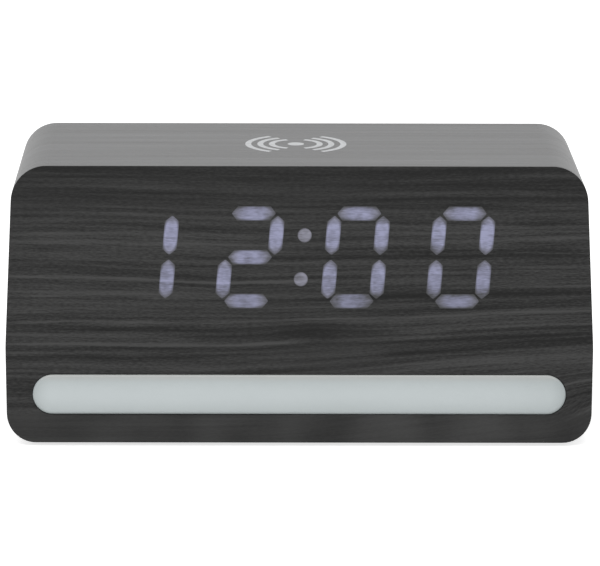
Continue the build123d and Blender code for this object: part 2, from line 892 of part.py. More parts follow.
# Backup cell in its holder, with two contacts, behind the turn-to-lock battery cover.
holder_bore = cell_diameter + 2 * cell_gap
holder_floor_top = board_rear - holder_floor
cell_top = holder_floor_top - cell_thickness
holder = disc(holder_bore + 2 * holder_wall, cell_top, board_rear)
holder -= disc(holder_bore, cell_top, holder_floor_top)
floor_contact = slab(
    contact_length, contact_width, holder_floor_top, holder_floor_top + contact_thickness
)
contact_x = (cell_diameter + contact_thickness) / 2
rim_contact = Pos(contact_x, 0) * slab(contact_thickness, contact_width, cell_top, board_rear)
holder -= floor_contact
holder -= rim_contact
save("cell_holder", on_rear(battery_x, battery_z, holder))
save("coin_cell", on_rear(battery_x, battery_z, disc(cell_diameter, cell_top, holder_floor_top)))
save(
    "cell_contacts",
    Compound(
        children=[
            on_rear(battery_x, battery_z, floor_contact),
            on_rear(battery_x, battery_z, rim_contact),
        ]
    ),
)

cap = disc(2 * flange_radius, 0, cap_flange_thickness)
cap = fillet(cap.edges().group_by(Axis.Z)[0], cap_flange_thickness / 3)
cap += disc(hub_diameter, cap_flange_thickness, lug_end)
for lug_turn in (90, 270):
    cap += arc_block(hub_diameter / 2 - lug_reach, lug_radius, lug_turn, lug_span, cap_back, lug_end)
cap -= pill(coin_slot_length, coin_slot_width, 0, coin_slot_depth)
save("battery_cover", on_rear(battery_x, battery_z, cap))

# Ribbon and leads between the boards, with the plugs they end in.
plug_width = ribbon_width + 2 * plug_margin
lead_plug_width = 3 * lead_spacing
plug_front = board_front + plug_depth
ribbon_z = main_board_height / 2 - plug_height
lead_plug_z = -ribbon_z
display_plug_end = board_back - plug_depth
display_plug = slab(plug_width, plug_height, display_plug_end, board_back)
plugs = [
    on_rear(ribbon_x, ribbon_z, slab(plug_width, plug_height, board_front, plug_front)),
    on_rear(light_lead_x, lead_plug_z, slab(lead_plug_width, plug_height, board_front, plug_front)),
    on_rear(charger_lead_x, lead_plug_z, slab(lead_plug_width, plug_height, board_front, plug_front)),
    at(front, ribbon_x, display_v, display_plug),
]
save("lead_plugs", Compound(children=plugs))


def world(plane, x, y, z):
    """Row coordinates of a local place."""
    return (plane.location * Pos(x, y, z)).position


ribbon_start = world(front, ribbon_x, display_v, display_plug_end)
ribbon_out = world(front, ribbon_x, display_v, display_plug_end - lead_run)
ribbon_end = world(rear, ribbon_x, case_height / 2 + ribbon_z, plug_front)
ribbon_in = world(rear, ribbon_x, case_height / 2 + ribbon_z, plug_front + lead_run)
ribbon_low = (ribbon_out + ribbon_in) * 0.5 - Vector(0, 0, ribbon_sag)
ribbon_path = route([ribbon_start, ribbon_out, ribbon_low, ribbon_in, ribbon_end])
ribbon_section = Plane(ribbon_path @ 0, x_dir=(1, 0, 0), z_dir=ribbon_path % 0) * Rectangle(
    ribbon_width, ribbon_thickness
)
save("display_ribbon", sweep(ribbon_section, path=ribbon_path))

light_leads = []
charger_leads = []
for side in (-1, 1):
    x = light_lead_x + side * lead_spacing / 2
    start = world(front, x, light_v, tray_floor)
    leave = world(front, x, light_v, tray_back - lead_run)
    arrive = world(rear, x, case_height / 2 + lead_plug_z, plug_front + lead_run)
    finish = world(rear, x, case_height / 2 + lead_plug_z, plug_front)
    light_leads.append(tube([start, leave, arrive, finish], lead_diameter))
    x = charger_lead_x + side * lead_spacing / 2
    start = world(ceiling, x, 0, charger_bottom)
    finish = world(rear, x, case_height / 2 + lead_plug_z, plug_front)
    turn = Vector(start.X, start.Y, finish.Z)
    charger_leads.append(tube([start, turn, finish], lead_diameter))
save("light_leads", Compound(children=light_leads))
save("charger_leads", Compound(children=charger_leads))
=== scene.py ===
import math

import bmesh
import bpy
from mathutils import Matrix, Vector


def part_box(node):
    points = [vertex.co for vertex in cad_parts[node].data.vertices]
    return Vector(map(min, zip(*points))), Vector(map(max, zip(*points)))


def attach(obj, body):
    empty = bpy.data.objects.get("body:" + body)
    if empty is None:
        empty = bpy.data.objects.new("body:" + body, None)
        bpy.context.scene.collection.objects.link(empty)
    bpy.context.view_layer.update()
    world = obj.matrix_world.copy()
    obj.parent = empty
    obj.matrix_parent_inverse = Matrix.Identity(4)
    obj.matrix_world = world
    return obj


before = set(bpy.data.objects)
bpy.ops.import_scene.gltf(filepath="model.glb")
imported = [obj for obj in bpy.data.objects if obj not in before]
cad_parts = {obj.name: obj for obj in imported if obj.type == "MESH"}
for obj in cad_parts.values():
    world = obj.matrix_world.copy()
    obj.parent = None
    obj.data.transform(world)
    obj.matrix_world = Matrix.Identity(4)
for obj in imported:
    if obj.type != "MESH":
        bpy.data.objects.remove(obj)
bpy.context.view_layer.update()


# Case block and glue blocks.
# The body of the clock is medium-density board, glued up hollow, stained black and sanded. Only its
# rear edge, round the plastic cover, is left bare of foil. The glue blocks in its corners match it.
MM = 1000.0  # millimetres in one of the frame's metres
STAIN_DARK = (0.009, 0.008, 0.0075, 1)
STAIN_PALE = (0.030, 0.026, 0.023, 1)


class Reading:
    """A number that varies over a surface; sums and products of readings add Math nodes."""

    def __init__(self, finish, socket):
        self.finish = finish
        self.socket = socket

    def reckon(self, operation, first, second=0.0):
        return self.finish.node("ShaderNodeMath", {"operation": operation}, {0: first, 1: second})

    def __add__(self, other):
        return self.reckon("ADD", self, other)

    def __radd__(self, other):
        return self.reckon("ADD", other, self)

    def __sub__(self, other):
        return self.reckon("SUBTRACT", self, other)

    def __rsub__(self, other):
        return self.reckon("SUBTRACT", other, self)

    def __mul__(self, other):
        return self.reckon("MULTIPLY", self, other)

    def __rmul__(self, other):
        return self.reckon("MULTIPLY", other, self)

    def __truediv__(self, other):
        return self.reckon("DIVIDE", self, other)

    def __rtruediv__(self, other):
        return self.reckon("DIVIDE", other, self)

    def __rpow__(self, other):
        return self.reckon("POWER", other, self)

    def __mod__(self, other):
        return self.reckon("FLOORED_MODULO", self, other)

    def __lt__(self, other):
        return self.reckon("LESS_THAN", self, other)

    def __gt__(self, other):
        return self.reckon("GREATER_THAN", self, other)

    def __abs__(self):
        return self.reckon("ABSOLUTE", self)

    def least(self, other):
        return self.reckon("MINIMUM", self, other)

    def most(self, other):
        return self.reckon("MAXIMUM", self, other)

    def root(self):
        return self.reckon("SQRT", self)


class Finish:
    """One material: its shader and the nodes that paint it, reading places in millimetres."""

    def __init__(self, name, **fixed):
        self.material = bpy.data.materials.new(name)
        self.material.use_nodes = True
        self.tree = self.material.node_tree
        self.shader = self.tree.nodes["Principled BSDF"]
        for socket, value in fixed.items():
            self.shader.inputs[socket.replace("_", " ")].default_value = value
        where = self.node("ShaderNodeTexCoord", {}, {}, "Object")
        grown = self.node("ShaderNodeVectorMath", {"operation": "SCALE"}, {0: where, "Scale": MM})
        split = self.node("ShaderNodeSeparateXYZ", {}, {0: grown}).socket.node
        self.x, self.y, self.z = [Reading(self, axis) for axis in split.outputs]

    def link(self, socket, value):
        if isinstance(value, Reading):
            self.tree.links.new(socket, value.socket)
        else:
            socket.default_value = value

    def node(self, kind, settings, sockets, out=0):
        made = self.tree.nodes.new(kind)
        for name, value in settings.items():
            setattr(made, name, value)
        for name, value in sockets.items():
            self.link(made.inputs[name], value)
        return Reading(self, made.outputs[out])

    def noise(self, x, y, z, detail=2.0, rough=0.5):
        where = self.node("ShaderNodeCombineXYZ", {}, {0: x, 1: y, 2: z})
        sockets = {"Vector": where, "Scale": 1.0, "Detail": detail, "Roughness": rough}
        return self.node("ShaderNodeTexNoise", {}, sockets)

    def grain(self, scale, detail=2.0, rough=0.5, seed=0.0):
        return self.noise(self.x * scale + seed, self.y * scale, self.z * scale, detail, rough)

    def slope(self, value, low, high):
        sockets = {"Value": value, "From Min": low, "From Max": high}
        return self.node("ShaderNodeMapRange", {"interpolation_type": "SMOOTHSTEP"}, sockets)

    def bell(self, value, middle, width):
        away = (value - middle) / width
        return math.e ** (away * away * -1.0)

    def mix(self, share, first, second):
        return self.node("ShaderNodeMix", {"data_type": "RGBA"}, {0: share, 6: first, 7: second}, 2)

    def paint(self, colour, rough, height=None, depth_mm=0.0):
        self.link(self.shader.inputs["Base Color"], colour)
        self.link(self.shader.inputs["Roughness"], rough)
        if height is not None:
            sockets = {"Height": height, "Distance": depth_mm / MM}
            self.link(self.shader.inputs["Normal"], self.node("ShaderNodeBump", {}, sockets))

    def dress(self, *names):
        for name in names:
            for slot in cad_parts[name].material_slots:
                slot.material = self.material


board = Finish("stained_board", Specular_IOR_Level=0.2)
fibres = board.noise(board.x * 1.6, board.y * 1.6, board.z * 3.2, 4.0, 0.7)
stain = board.slope(fibres * 0.7 + board.grain(0.08) * 0.3, 0.34, 0.7)
board.paint(board.mix(stain, STAIN_DARK, STAIN_PALE), 0.72 + fibres * 0.2, fibres, 0.06)
board.dress("case_block", "glue_blocks")

# Wrap foil.
# A black wood-grain foil, 0.4 mm thick, is wound round the top, the sides and the underside and glued
# down. Its grain runs round the case, so it lies across the top and upright on the sides.
WRAP_DARK = (0.009, 0.009, 0.0092, 1)
WRAP_PALE = (0.066, 0.0672, 0.0705, 1)
# Each layer of the grain: cycles in a millimetre along and across it, seed, detail and share.
WRAP_LAYERS = [
    (0.007, 0.09, 7.0, 0.0, 0.17),
    (0.010, 0.30, 4.0, 0.0, 0.20),
    (0.014, 0.82, 0.0, 0.0, 0.24),
    (0.040, 1.70, 9.0, 1.0, 0.21),
    (0.750, 3.30, 3.0, 2.0, 0.30),
]
wrap = Finish("wrap_foil", Specular_IOR_Level=0.155)
wrap_wave = wrap.noise(wrap.x * 0.012, wrap.y * 0.05, wrap.z * 0.012, 1.0) * 3.0
wrap_line = wrap.y + wrap_wave + wrap.grain(0.10, 1.0) * 0.5
wrap_layers = []
wrap_tone = 0.0
for along, across, seed, detail, share in WRAP_LAYERS:
    layer = wrap.noise(wrap.x * along, wrap_line * across, wrap.z * along + seed, detail)
    wrap_layers.append(layer)
    wrap_tone = layer * share + wrap_tone
wrap_coarse, wrap_fine, wrap_flecks = wrap_layers[2:]
wrap.paint(
    wrap.mix(wrap.slope(wrap_tone, 0.38, 0.74), WRAP_DARK, WRAP_PALE),
    0.25 + wrap_fine * 0.08,
    wrap_coarse * 0.4 + wrap_fine * 0.4 + wrap_flecks * 0.2,
    0.02,
)
wrap.dress("wrap_foil")

# Front foil and unlit segments.
# The same foil covers the leaning front, thin enough for the digits to shine through; an unlit segment
# can't be told from it. Its grain lies level, rises towards the lower right and crests in the middle.
LEAN = math.radians(10.0)
CASE_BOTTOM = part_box("wrap_foil")[0][2] * MM
FRONT_DARK = (0.0085, 0.0085, 0.0084, 1)
FRONT_PALE = (0.058, 0.058, 0.0575, 1)
# Each layer of the grain: cycles in a millimetre along and across it, seed and detail.
FRONT_LAYERS = [
    (0.007, 0.20, 5.0, 0.0),
    (0.009, 0.42, 7.0, 0.0),
    (0.012, 0.82, 0.0, 0.0),
    (0.055, 1.65, 3.0, 1.0),
    (0.750, 3.20, 9.0, 2.0),
]
# Each streak: its grain line, its half width, where it starts and ends, and how pale or dark it is.
STREAKS = [
    (42.25, 0.34, -80.0, 10.0, 0.15),
    (37.2, 0.30, -80.0, -25.0, 0.14),
    (30.8, 0.36, -80.0, 80.0, 0.12),
    (24.8, 0.36, -80.0, 5.0, 0.16),
    (52.8, 1.60, -75.0, -5.0, 0.05),
    (37.9, 1.00, 5.0, 85.0, -0.08),
    (26.7, 1.10, -35.0, 32.0, -0.06),
    (20.2, 1.10, 15.0, 90.0, -0.13),
    (25.3, 0.80, 30.0, 90.0, -0.10),
    (34.9, 0.60, -80.0, -10.0, -0.06),
    (63.3, 0.45, 10.0, 85.0, -0.07),
]
STREAK_TAPER = 14.0
# Each pale patch on the strip under the light bar: its middle, its width and how pale it is.
PALE_PATCHES = [(19.0, 7.0, 0.04), (46.0, 7.0, 0.07)]


def foil_grain(finish):
    """Tone of the front foil's print, from 0 dark to 1 pale, and its relief."""
    x = finish.x
    up = (finish.z - CASE_BOTTOM) / math.cos(LEAN)

    # The bends that carry a grain line away from level.
    right = finish.slope(x, -25.0, 95.0)
    low = ((46.0 - up) / 28.0).most(0.0).least(1.25)
    rise = right * (0.8 + low * 7.0)
    dip = finish.slope(x, -75.0, 0.0) * ((up - 28.0) / 12.0).most(0.0).least(1.0) * -1.5
    crest = finish.bell(x, 2.0, 10.0) * finish.bell(up, 28.6, 3.2) * 1.1
    swerve = finish.slope(x, 62.0, 78.0) * finish.bell(up, 11.0, 7.0) * 4.0
    wave = (finish.noise(x * 0.022, up * 0.10, 2.0, 1.0) - 0.5) * 1.5
    swirl = finish.bell(x, 2.6, 9.0) * finish.bell(up, 28.0, 2.6)
    ripple = (finish.noise(x * 0.16, up * 0.55, 6.0, 1.0) - 0.5) * (0.30 + swirl * 1.6)
    line = up - rise - dip - crest - swerve - wave - ripple

    # The layers of the grain, livelier at the right and calmer round the crest and at the top.
    broad, bands, coarse, fine, flecks = [
        finish.noise(x * along, line * across, seed, detail)
        for along, across, seed, detail in FRONT_LAYERS
    ]
    lively = finish.slope(x, 15.0, 45.0) * finish.bell(up, 23.0, 9.0) * 0.10
    tone = broad * 0.05 + bands * (lively + 0.16) + coarse * 0.29 + fine * 0.24 + flecks * 0.37
    calm = finish.bell(x, 6.0, 28.0) * finish.bell(up, 25.0, 9.0) * 0.30
    strong = 0.81 + finish.bell(up, 29.0, 8.0) * 0.07 - finish.slope(up, 54.0, 62.0) * 0.22 - calm
    strong = finish.slope(x, 5.0, 45.0) * 0.13 + strong
    tone = (tone - lively * 0.5 - 0.555) * strong + 0.478

    # A dark swirl at the crest, and pale and dark streaks along grain lines.
    streaks = swirl * -0.07
    for level, width, start, end, strength in STREAKS:
        begun = finish.slope(x, start, start + STREAK_TAPER)
        left = finish.slope(x, end, end - STREAK_TAPER)
        streaks = finish.bell(line, level, width) * begun * left * (fine * strength * 2.0) + streaks

    # The strip under the light bar is nearly plain, with faint clouds.
    plain = finish.slope(up, 9.0, 6.0)
    clouds = finish.noise(x * 0.055, up * 0.05, 13.0, 1.0) * 0.32 + 0.19
    for middle, width, strength in PALE_PATCHES:
        clouds = finish.bell(x, middle, width) * strength + clouds
    tone = (tone + streaks) * (1.0 - plain) + (tone * 0.28 + clouds) * plain
    top_shade = finish.slope(up, 57.0, 70.0) * 0.06
    return tone - top_shade, coarse * 0.4 + fine * 0.4 + flecks * 0.2


front = Finish("front_foil", Specular_IOR_Level=0.16)
front_tone, front_relief = foil_grain(front)
front.paint(
    front.mix(front.slope(front_tone, 0.32, 0.68), FRONT_DARK, FRONT_PALE),
    0.46 + front_relief * 0.10,
    front_relief,
    0.02,
)
front.dress("front_foil", "unlit_segments")

# Lit segments.
# Milky light guides stand behind the foil, one for each segment, with an LED behind the middle of
# each, so a segment is brightest there and greyer at its tips. The foil's grain shows through it.
DIGIT_PITCH = 26.9
DISPLAY_SHIFT = 0.8
DISPLAY_UP = 47.29
ROW_STEP = 11.175
COLUMN_STEP = 12.4
SLANT = math.tan(math.radians(5.0))
SEGMENT_HALF = 1.825
SEGMENT_TIP = 1.5
SEGMENT_END_GAP = 0.55
UPRIGHT_REACH = ROW_STEP / 2 - SEGMENT_END_GAP
LYING_REACH = COLUMN_STEP / 2 - SEGMENT_END_GAP
DIGIT_HALF = 10.0  # further out than this from the middle of a digit lies a dot of the colon
DOT_UP = 5.6
DOT_RADIUS = 1.8
LIT_MIDDLE = (0.292, 0.300, 0.440, 1)
LIT_TIP = (0.262, 0.258, 0.300, 1)
LIT_RIM = (0.045, 0.045, 0.046, 1)
LIT_FOIL_DARK = (0.010, 0.010, 0.011, 1)
LIT_FOIL_PALE = (0.030, 0.030, 0.034, 1)
lit = Finish("lit_segments", Specular_IOR_Level=0.16, Emission_Strength=1.0)
lit_tone, lit_relief = foil_grain(lit)

# Where a point lies in its digit, and along and across its segment.
row = (lit.z - CASE_BOTTOM) / math.cos(LEAN) - DISPLAY_UP
column = (lit.x - DISPLAY_SHIFT - row * SLANT) % DIGIT_PITCH - DIGIT_PITCH / 2
beside = abs(column)
above = abs(row)
dot = beside > DIGIT_HALF
segment = 1.0 - dot
to_upright = abs(beside - COLUMN_STEP / 2)
to_lying = above.least(abs(above - ROW_STEP))
upright = to_upright < to_lying
lying = 1.0 - upright
along = abs(above - ROW_STEP / 2) * upright + beside * lying
across = to_upright * upright + to_lying * lying
reach = UPRIGHT_REACH * upright + LYING_REACH * lying

# How near it is to the rounded outline of the segment or dot, which is 1 at the rim.
dot_beside = beside - DIGIT_PITCH / 2
dot_above = above - DOT_UP
to_dot = (dot_beside * dot_beside + dot_above * dot_above).root()
to_side = across / SEGMENT_HALF
to_tip = (along + across * SEGMENT_TIP / SEGMENT_HALF) / reach
side_squared = to_side * to_side
tip_squared = to_tip * to_tip
rim = (side_squared * side_squared + tip_squared * tip_squared).root().root()
rim = rim * segment + to_dot / DOT_RADIUS * dot
corner = lit.slope(rim, 1.0, 1.10) * segment
tip = lit.slope(along, 2.0, 5.4) * segment

# How bright it is: streaked by the foil, crowned on lying segments and dimmer low down.
pores = lit.noise(lit.x * 0.5, row * 4.4, 17.0, 1.0) - 0.5
streak = (lit_tone - 0.5) * 1.9 + (lit.grain(0.30) - 0.5) * 1.3 + pores * 0.8
lower = lit.slope(row, -0.5, -7.0) * (0.10 + lit.slope(lit.x, 10.0, 45.0) * 0.12)
crown = lying * segment * (0.045 - side_squared * 0.40)
sunk = (lit.slope(row % ROW_STEP - ROW_STEP / 2, 5.0, -4.5) - 0.45) * upright * segment
sunk = sunk * (0.15 + (column < 0.0) * 0.09)
fade = 0.96 - lit.slope(above, 8.0, 10.6) * lying * segment * 0.12 - lower - dot * 0.06
glow = (0.83 - tip * 0.36 - dot * 0.10 + crown - sunk + streak) * fade
glow = glow * (1.0 - lit.slope(rim, 0.78, 1.02) * 0.62) * (1.0 - corner * 0.9)
lit_hue = lit.mix(tip * 0.6 + dot * 0.8, LIT_MIDDLE, LIT_TIP)
lit.link(lit.shader.inputs["Emission Color"], lit.mix(glow, LIT_RIM, lit_hue))
lit.paint(
    lit.mix(lit_tone, LIT_FOIL_DARK, LIT_FOIL_PALE), 0.46 + lit_relief * 0.10, lit_relief, 0.02
)
lit.dress("lit_segments")

# Charging sign.
# A dot between three pairs of arcs is printed in pale grey ink on the top, over the middle of the
# charging coil. It is a little longer from front to back than from side to side.
SIGN_X = -0.67
SIGN_Y = 6.1
SIGN_DEEP = 1.22
SIGN_DOT = 2.15
ARC_HALF_STROKE = 0.78
ARC_STEPS = 36
ARCS = [(6.3, 69.0), (9.34, 61.5), (12.5, 57.5)]  # radius, and degrees to each side of its middle
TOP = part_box("wrap_foil")[1][2] * MM
INK = 0.02
INK_THIN = (0.455, 0.462, 0.472, 1)
INK_FULL = (0.64, 0.65, 0.665, 1)
CENTRE = (0, 0, 0)
ink = Finish("pale_ink", Specular_IOR_Level=0.2)
ink_cover = ink.noise(ink.x * 0.5, ink.y * 2.2, ink.z * 2.2, 3.0, 0.6)
ink.paint(
    ink.mix(ink.slope(ink_cover, 0.25, 0.62), INK_THIN, INK_FULL),
    0.42 + ink_cover * 0.2,
    ink_cover,
    0.006,
)


def print_sign(name, outline, turn, place, body):
    """Gives a flat outline the ink's thickness and lays it, half sunk, on a place of a body."""
    raised = bmesh.ops.extrude_face_region(outline, geom=outline.faces[:])
    lifted = [part for part in raised["geom"] if isinstance(part, bmesh.types.BMVert)]
    bmesh.ops.translate(outline, verts=lifted, vec=(0, 0, 2 * INK))
    bmesh.ops.rotate(outline, verts=outline.verts, cent=CENTRE, matrix=turn)
    bmesh.ops.translate(outline, verts=outline.verts, vec=place)
    bmesh.ops.scale(outline, verts=outline.verts, vec=(1 / MM, 1 / MM, 1 / MM))
    bmesh.ops.recalc_face_normals(outline, faces=outline.faces)
    printed = bpy.data.objects.new(name, bpy.data.meshes.new(name))
    outline.to_mesh(printed.data)
    outline.free()
    bpy.context.collection.objects.link(printed)
    printed.data.materials.append(ink.material)
    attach(printed, body)


sign = bmesh.new()
for side in (0.0, math.pi):
    for radius, half_span in ARCS:
        half_turn = math.radians(half_span)
        ends = [sign.verts.new((radius + ARC_HALF_STROKE * way, 0, 0)) for way in (-1, 1)]
        to_start = Matrix.Rotation(side - half_turn, 3, "Z")
        bmesh.ops.rotate(sign, verts=ends, cent=CENTRE, matrix=to_start)
        stroke = sign.edges.new(ends)
        bmesh.ops.spin(
            sign,
            geom=[stroke] + ends,
            cent=CENTRE,
            axis=(0, 0, 1),
            angle=2.0 * half_turn,
            steps=ARC_STEPS,
            use_merge=False,
            use_duplicate=False,
        )
bmesh.ops.create_circle(sign, cap_ends=True, segments=40, radius=SIGN_DOT)
bmesh.ops.scale(sign, verts=sign.verts, vec=(1.0, SIGN_DEEP, 1.0))
print_sign("charging_sign", sign, Matrix.Identity(3), (SIGN_X, SIGN_Y, TOP - INK), "case")

# Feet.
# Four black rubber discs are die-cut and glued into shallow pockets of the underside. They hold a
# little dust.
RUBBER_DARK = (0.012, 0.012, 0.012, 1)
RUBBER_PALE = (0.055, 0.053, 0.050, 1)
rubber = Finish("foot_rubber", Specular_IOR_Level=0.2)
rubber_grain = rubber.grain(2.0, 3.0, 0.7)
dust = rubber.slope(rubber.grain(0.4, 3.0, 0.6, 5.0), 0.45, 0.75)
rubber.paint(
    rubber.mix(rubber_grain * 0.5 + dust * 0.4, RUBBER_DARK, RUBBER_PALE),
    0.72 + rubber_grain * 0.2,
    rubber_grain,
    0.05,
)
rubber.dress("feet")

# Light bar lens.
# A milky bar with round ends, a flat face and a rounded rim is pressed into its slot from behind. It
# is moulded in one piece and satin. Its colour is painted darker towards its rim and ends as painted
# shade, and paler and warmer along its upper rim as a painted reflection.
LIGHT_UP = 12.3
LIGHT_HALF = 5.0
LIGHT_STRAIGHT = 63.0
MILKY_MIDDLE = (0.548, 0.594, 0.602, 1)
MILKY_SHADED_RIM = (0.412, 0.452, 0.455, 1)
MILKY_UPPER_REFLECTION = (0.470, 0.472, 0.455, 1)
milky = Finish("milky_lens", Specular_IOR_Level=0.3)
light_up = (milky.z - CASE_BOTTOM) / math.cos(LEAN) - LIGHT_UP
past_end = (abs(milky.x) - LIGHT_STRAIGHT).most(0.0)
from_middle = (light_up * light_up + past_end * past_end).root() / LIGHT_HALF
milky_clouds = milky.noise(milky.x * 0.05, milky.z * 0.16, milky.y * 0.16)
milky_specks = milky.grain(1.4)
# Painted shade: the colour darkens towards the rim and towards both ends of the bar.
painted_rim_shade = from_middle * from_middle + milky.slope(milky.x, 48.0, 68.0) * 0.25
milky_shade_and_clouds = painted_rim_shade + (milky_clouds - 0.5) * 0.25 + (milky_specks - 0.5) * 0.1
# Painted reflection: a warm pale band along the upper rim.
painted_upper_reflection = milky.slope(light_up, 2.8, 4.9) * 0.65
milky.paint(
    milky.mix(painted_upper_reflection, milky.mix(milky_shade_and_clouds, MILKY_MIDDLE, MILKY_SHADED_RIM), MILKY_UPPER_REFLECTION),
    0.36 + milky_specks * 0.14,
    milky_specks,
    0.01,
)
milky.dress("light_bar_lens")

# Reflector and trays.
# White moulded plastic throws the light forward: the display's reflector with a well for each
# segment, the tray behind the light bar, and the tray that holds the charging coil under the top.
WHITE_DULL = (0.66, 0.66, 0.63, 1)
WHITE_CLEAN = (0.84, 0.84, 0.82, 1)
white = Finish("white_moulding", Specular_IOR_Level=0.4)
white_grain = white.grain(1.2, 3.0, 0.6)
white_clouds = white.grain(0.06, 2.0, 0.5, 3.0)
white.paint(
    white.mix(white_grain * 0.4 + white_clouds * 0.6, WHITE_DULL, WHITE_CLEAN),
    0.42 + white_grain * 0.18,
    white_grain,
    0.02,
)
white.dress("display_reflector", "light_tray", "coil_tray")

# Circuit boards.
# Green solder mask over copper tracks on glass fibre: the display board, the light bar's strip, the
# charger board and the main board.
MASK_DARK = (0.012, 0.085, 0.034, 1)
MASK_PALE = (0.022, 0.130, 0.054, 1)
MASK_ON_TRACK = (0.060, 0.240, 0.100, 1)
boards = Finish("solder_mask", Specular_IOR_Level=0.5)
weave = boards.grain(2.6)
lane = boards.grain(0.25, 0.0) * 9.0
track = boards.slope(abs(lane % 1.0 - 0.5), 0.16, 0.10)
boards.paint(
    boards.mix(track, boards.mix(weave, MASK_DARK, MASK_PALE), MASK_ON_TRACK),
    0.30 + weave * 0.14,
    track + weave * 0.3,
    0.03,
)
boards.dress("display_board", "light_board", "charger_board", "main_board")


# Parts on the boards.
# LEDs in yellowish resin, chips and other parts in matt black, cream plugs of the leads, and the
# tactile switches, their plungers and the cell's holder in black plastic.
def speckled(name, gloss, grain, dark, pale, rough, depth, nodes):
    """An even finish whose fine grain tints, roughens and raises the surface alike."""
    finish = Finish(name, Specular_IOR_Level=gloss)
    specks = finish.grain(*grain)
    smooth, spread = rough
    finish.paint(finish.mix(specks, dark, pale), smooth + specks * spread, specks, depth)
    finish.dress(*nodes)


speckled(
    "led_resin",
    gloss=0.5,
    grain=(1.6,),
    dark=(0.80, 0.72, 0.34, 1),
    pale=(0.88, 0.86, 0.66, 1),
    rough=(0.22, 0.15),
    depth=0.01,
    nodes=["display_leds", "light_leds"],
)
speckled(
    "moulded_chip",
    gloss=0.35,
    grain=(2.8, 3.0, 0.65),
    dark=(0.010, 0.010, 0.010, 1),
    pale=(0.034, 0.034, 0.034, 1),
    rough=(0.55, 0.20),
    depth=0.03,
    nodes=["charger_board_parts", "main_board_parts", "buzzer"],
)
speckled(
    "cream_plug",
    gloss=0.4,
    grain=(1.2, 3.0, 0.6),
    dark=(0.66, 0.62, 0.50, 1),
    pale=(0.80, 0.77, 0.68, 1),
    rough=(0.42, 0.18),
    depth=0.02,
    nodes=["lead_plugs"],
)
speckled(
    "switch_plastic",
    gloss=0.35,
    grain=(1.8, 3.0, 0.6),
    dark=(0.014, 0.014, 0.014, 1),
    pale=(0.040, 0.040, 0.041, 1),
    rough=(0.44, 0.20),
    depth=0.02,
    nodes=[
        "key_switches",
        "cell_holder",
        "set_plunger",
        "up_plunger",
        "down_plunger",
        "light_plunger",
    ],
)

# Charging coil and ferrite.
# The coil is wound flat from enamelled copper strands on a dark ferrite sheet, and its two ends run
# through the tray to the charger board.
COPPER_DARK = (0.30, 0.105, 0.045, 1)
COPPER_BRIGHT = (0.78, 0.36, 0.19, 1)
STRANDS_PER_MM = 2.6
COIL_Y = 5.72
coil = Finish("enamelled_copper", Metallic=1.0)
coil_back = coil.y - COIL_Y
from_centre = (coil.x * coil.x + coil_back * coil_back).root()
strand = abs((from_centre * STRANDS_PER_MM) % 1.0 - 0.5) * 2.0
coil_stain = coil.grain(0.5, 3.0, 0.6)
# Painted highlight and painted shade: the copper is paler along each strand's crest and darker between
# strands, mixed with a real stain.
coil.paint(
    coil.mix(strand * 0.6 + coil_stain * 0.4, COPPER_DARK, COPPER_BRIGHT),
    0.26 + coil_stain * 0.2,
    strand,
    0.05,
)
coil.dress("charging_coil", "coil_leads")
speckled(
    "ferrite_sheet",
    gloss=0.3,
    grain=(1.8, 4.0, 0.7),
    dark=(0.026, 0.026, 0.029, 1),
    pale=(0.075, 0.075, 0.080, 1),
    rough=(0.60, 0.25),
    depth=0.04,
    nodes=["coil_ferrite"],
)

# Ribbon and leads.
# A grey ribbon of fine conductors joins the display to the main board. Red leads with a soft skin
# feed the light bar and the charger board.
RIBBON_PITCH = 1.27
RIBBON_GREY = (0.40, 0.40, 0.42, 1)
RIBBON_SHADED_GROOVE = (0.20, 0.20, 0.21, 1)
ribbon = Finish("grey_ribbon", Specular_IOR_Level=0.35)
groove = abs(ribbon.x % RIBBON_PITCH - RIBBON_PITCH / 2) / (RIBBON_PITCH / 2)
ribbon_grain = ribbon.grain(0.8)
# Painted shade: the grooves between the conductors are coloured darker, over a faint grain.
ribbon_tone = ribbon.slope(groove, 0.75, 1.0) * 0.7 + ribbon_grain * 0.3
ribbon.paint(
    ribbon.mix(ribbon_tone, RIBBON_GREY, RIBBON_SHADED_GROOVE),
    0.40 + ribbon_grain * 0.16,
    1.0 - groove,
    0.12,
)
ribbon.dress("display_ribbon")
speckled(
    "red_lead",
    gloss=0.35,
    grain=(1.2, 3.0, 0.6),
    dark=(0.27, 0.012, 0.012, 1),
    pale=(0.48, 0.030, 0.026, 1),
    rough=(0.42, 0.16),
    depth=0.02,
    nodes=["light_leads", "charger_leads"],
)


# Power socket.
# A seamed shell of plated steel stands on the main board behind its slot in the cover. The black
# tongue inside it carries gilt contacts side by side.
def middle_of(name):
    """The middle of a node's box at rest, in millimetres."""
    low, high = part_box(name)
    return (Vector(low) + Vector(high)) * MM / 2


PLATE_DARK = (0.46, 0.46, 0.47, 1)
PLATE_BRIGHT = (0.70, 0.70, 0.71, 1)
shell = Finish("plated_steel", Metallic=1.0)
drawn = shell.noise(shell.x * 2.5, shell.y * 0.3, shell.z * 2.5, 3.0, 0.6)
shell.paint(shell.mix(drawn, PLATE_DARK, PLATE_BRIGHT), 0.24 + drawn * 0.16, drawn, 0.008)
shell.dress("power_socket_shell")

